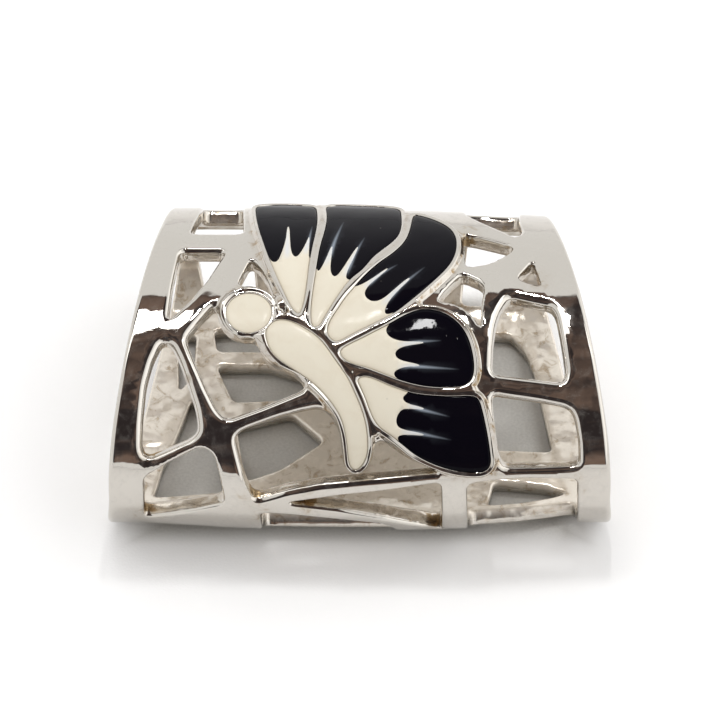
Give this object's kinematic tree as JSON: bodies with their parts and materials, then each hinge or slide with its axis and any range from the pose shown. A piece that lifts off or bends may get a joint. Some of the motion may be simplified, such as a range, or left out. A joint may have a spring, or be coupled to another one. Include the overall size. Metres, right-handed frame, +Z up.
{
  "type": "openwork metal sash sleeve (obidome ring) with an enamelled butterfly",
  "caption": "Flattened tube of pierced cast metal that a sash cord or scarf runs through, with an enamelled butterfly raised on its face.",
  "frame": {"origin": "on the surface that the sleeve lies on, below the middle of its outline", "axes": "+X along the tube, +Y towards its shorter edge, +Z up, out of the enamelled face"},
  "size_m": [0.049, 0.0348, 0.0204],
  "materials": {
    "silver_plate": "bright silver plate over cast zinc alloy",
    "cream_enamel": "glossy cream soft enamel",
    "black_enamel": "glossy black soft enamel"
  },
  "bodies": {
    "root": {"sleeve": "silver_plate", "enamel_head": "cream_enamel", "enamel_body": "cream_enamel", "wing_cream_1": "cream_enamel", "wing_cream_2": "cream_enamel", "wing_cream_3": "cream_enamel", "wing_cream_4": "cream_enamel", "wing_cream_5": "cream_enamel", "wing_black_1": "black_enamel", "wing_black_2": "black_enamel", "wing_black_3": "black_enamel", "wing_black_4": "black_enamel", "wing_black_5": "black_enamel"}
  },
  "joints": []
}
